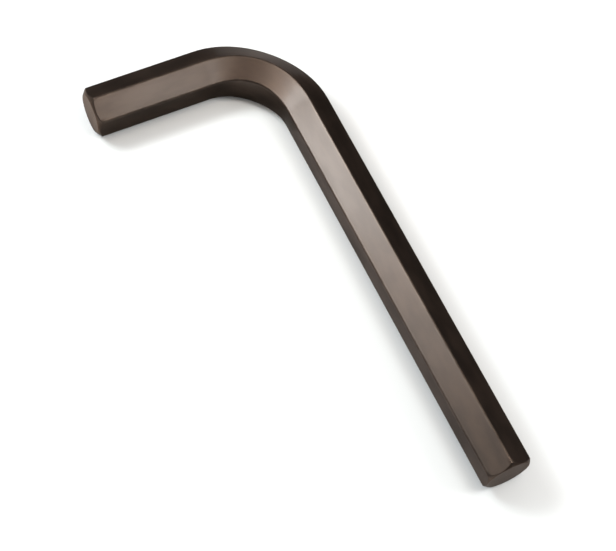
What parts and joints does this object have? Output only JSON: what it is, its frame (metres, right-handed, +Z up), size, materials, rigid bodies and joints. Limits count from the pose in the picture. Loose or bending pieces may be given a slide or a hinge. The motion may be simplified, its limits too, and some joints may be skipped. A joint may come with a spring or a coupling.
{
  "type": "hex key",
  "caption": "L-shaped hexagon bar key with one right-angle bend and a turned chamfer on each end.",
  "frame": {"origin": "under the middle of the key's outline, on the surface that it lies on", "axes": "+X along the long arm towards its end, -Y along the short arm towards its end, +Z up out of the plane of the bend"},
  "size_m": [0.117, 0.05, 0.0113],
  "materials": {
    "black_oxide_steel": "brown-black oxide, satin, lightly oiled"
  },
  "bodies": {
    "root": {"hex_key": "black_oxide_steel"}
  },
  "joints": []
}
